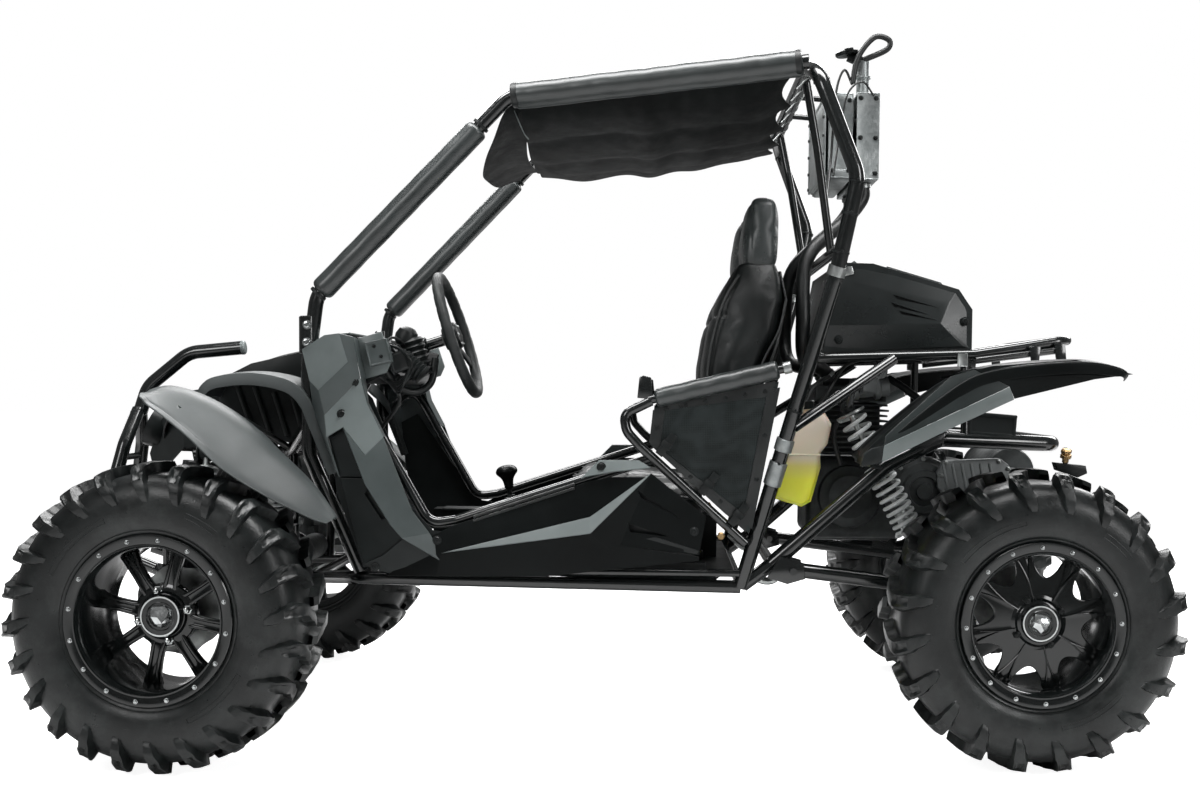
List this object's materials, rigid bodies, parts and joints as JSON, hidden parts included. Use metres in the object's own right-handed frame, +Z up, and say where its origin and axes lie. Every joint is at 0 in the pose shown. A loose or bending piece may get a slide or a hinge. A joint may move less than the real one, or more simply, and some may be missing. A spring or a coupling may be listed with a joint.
{
  "type": "two-seat off-road dune buggy",
  "caption": "Two-seat off-road dune buggy: tubular cage with padded pillars, fabric canopy, side nets, rear engine under a cover, knobby tyres and a working steering wheel.",
  "frame": {"origin": "on the floor, under the middle of the vehicle's box", "axes": "+X forward, +Y to the vehicle's left, +Z up"},
  "size_m": [2.4684, 1.4654, 1.6441],
  "materials": {
    "gloss_tube": "gloss",
    "foam_pad": "matte",
    "canopy_cloth": "matte",
    "black_plastic": "satin",
    "grey_plastic": "satin",
    "lamp_glass": "clear",
    "vinyl": "satin",
    "net_mesh": "mesh",
    "grip_rubber": "satin",
    "bare_aluminium": "satin",
    "hose_rubber": "satin",
    "bottle_plastic": "translucent",
    "engine_metal": "cast",
    "dark_steel": "satin",
    "zinc_steel": "plated",
    "spring_paint": "satin",
    "tyre_rubber": "matte",
    "gloss_rim": "gloss"
  },
  "bodies": {
    "chassis": {"chassis_frame": "gloss_tube", "rear_frame": "gloss_tube", "roll_cage": "gloss_tube", "rear_hoop": "gloss_tube", "pillar_pads": "foam_pad", "roof_canopy": "canopy_cloth", "floor_pan": "black_plastic", "hood": "black_plastic", "cowl_panels": "grey_plastic", "sill_panels": "black_plastic", "front_fenders": "grey_plastic", "rear_fenders": "black_plastic", "engine_cover": "black_plastic", "rear_rack": "gloss_tube", "front_bumper": "gloss_tube", "headlights": "lamp_glass", "driver_seat": "vinyl", "passenger_seat": "vinyl", "net_bars": "vinyl", "side_nets": "net_mesh", "dash_panel": "grey_plastic", "steering_column": "black_plastic", "radiator": "bare_aluminium", "radiator_hoses": "hose_rubber", "coolant_bottle": "bottle_plastic", "engine": "engine_metal", "transmission": "engine_metal", "muffler": "dark_steel", "steering_rack": "dark_steel", "front_arms": "dark_steel", "front_shocks": "spring_paint", "rear_arms": "dark_steel", "rear_shocks": "spring_paint", "half_shafts": "dark_steel", "shift_lever": "black_plastic", "pedals": "zinc_steel"},
    "steering_wheel": {"steering_wheel": "grip_rubber"},
    "knuckle_left": {"knuckle_left": "dark_steel"},
    "knuckle_right": {"knuckle_right": "dark_steel"},
    "tie_rod_left": {"tie_rod_left": "zinc_steel"},
    "tie_rod_right": {"tie_rod_right": "zinc_steel"},
    "wheel_front_left": {"tyre_front_left": "tyre_rubber", "rim_front_left": "gloss_rim"},
    "wheel_front_right": {"tyre_front_right": "tyre_rubber", "rim_front_right": "gloss_rim"},
    "wheel_rear_left": {"tyre_rear_left": "tyre_rubber", "rim_rear_left": "gloss_rim"},
    "wheel_rear_right": {"tyre_rear_right": "tyre_rubber", "rim_rear_right": "gloss_rim"}
  },
  "joints": [
    {"name": "steering", "type": "hinge", "parent": "chassis", "child": "steering_wheel", "pos_m": [0.361, 0.215, 0.912], "axis": [-0.9483, 0, 0.3173], "range_deg": [-220, 320]},
    {"name": "steer_left", "type": "hinge", "parent": "chassis", "child": "knuckle_left", "pos_m": [0.88, 0.5, 0.316], "axis": [0, 0, 1], "range_deg": [-22, 32]},
    {"name": "tie_left", "type": "hinge", "parent": "knuckle_left", "child": "tie_rod_left", "pos_m": [0.7747, 0.50118, 0.368], "axis": [0, 0, 1], "range_deg": [-32, 22]},
    {"name": "spin_front_left", "type": "hinge", "parent": "knuckle_left", "child": "wheel_front_left", "pos_m": [0.88959, 0.60958, 0.316], "axis": [0.0872, 0.9962, 0], "continuous": true},
    {"name": "spin_rear_left", "type": "hinge", "parent": "chassis", "child": "wheel_rear_left", "pos_m": [-0.916, 0.52, 0.318], "axis": [0, 1, 0], "continuous": true},
    {"name": "steer_right", "type": "hinge", "parent": "chassis", "child": "knuckle_right", "pos_m": [0.88, -0.5, 0.316], "axis": [0, 0, 1], "range_deg": [-22, 32]},
    {"name": "tie_right", "type": "hinge", "parent": "knuckle_right", "child": "tie_rod_right", "pos_m": [0.7761, -0.48288, 0.368], "axis": [0, 0, 1], "range_deg": [-32, 22]},
    {"name": "spin_front_right", "type": "hinge", "parent": "knuckle_right", "child": "wheel_front_right", "pos_m": [0.87041, -0.60958, 0.316], "axis": [0.0872, 0.9962, 0], "continuous": true},
    {"name": "spin_rear_right", "type": "hinge", "parent": "chassis", "child": "wheel_rear_right", "pos_m": [-0.916, -0.52, 0.318], "axis": [0, 1, 0], "continuous": true}
  ],
  "couplings": [
    {"joint": "steer_left", "follows": "steering", "ratio": 0.1},
    {"joint": "steer_right", "follows": "steering", "ratio": 0.1},
    {"joint": "tie_left", "follows": "steering", "ratio": -0.1},
    {"joint": "tie_right", "follows": "steering", "ratio": -0.1}
  ]
}
